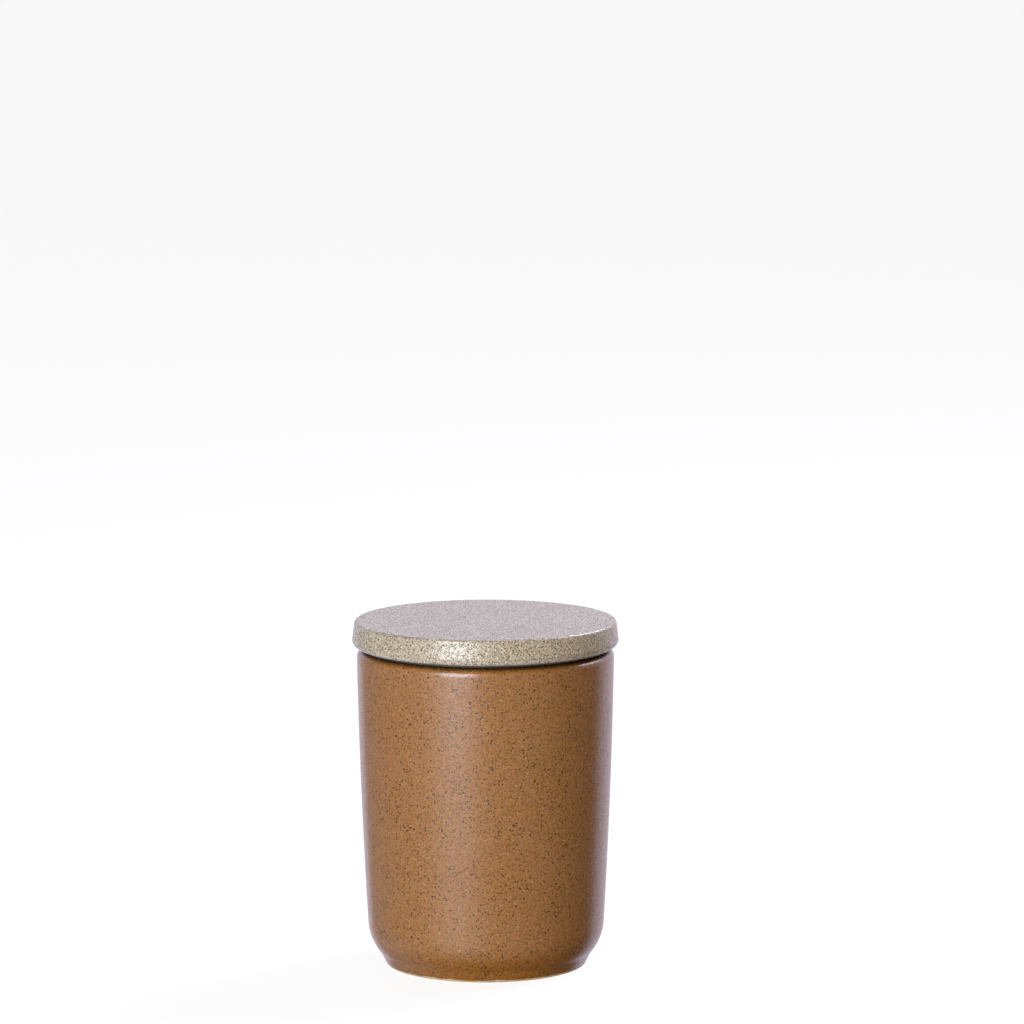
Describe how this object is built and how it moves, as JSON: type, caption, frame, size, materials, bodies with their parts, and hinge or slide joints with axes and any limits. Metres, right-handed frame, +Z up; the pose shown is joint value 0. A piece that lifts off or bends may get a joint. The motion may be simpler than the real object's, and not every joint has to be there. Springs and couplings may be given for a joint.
{
  "type": "storage jar",
  "caption": "Round footed stoneware jar with bowed sides and a flat stoneware lid that lifts off and turns on a silicone seal.",
  "frame": {"origin": "centre of the circle that the foot ring rests on", "axes": "+Z up along the jar's axis of turning; X and Y are any two directions across, since every piece is round"},
  "size_m": [0.0994, 0.0994, 0.1301],
  "materials": {
    "brown_stoneware": "satin caramel-brown glaze with dark iron specks",
    "oatmeal_stoneware": "satin oatmeal glaze with dense brown and white specks",
    "silicone": "matte dark olive moulded silicone"
  },
  "bodies": {
    "jar": {"jar_body": "brown_stoneware"},
    "seal": {"lid_seal": "silicone"},
    "lid": {"lid": "oatmeal_stoneware"}
  },
  "joints": [
    {"name": "lid_lift", "type": "slide", "parent": "jar", "child": "seal", "axis": [0, 0, 1], "range_m": [0, 0.07]},
    {"name": "lid_turn", "type": "hinge", "parent": "seal", "child": "lid", "pos_m": [0, 0, 0.1204], "axis": [0, 0, 1], "continuous": true}
  ]
}
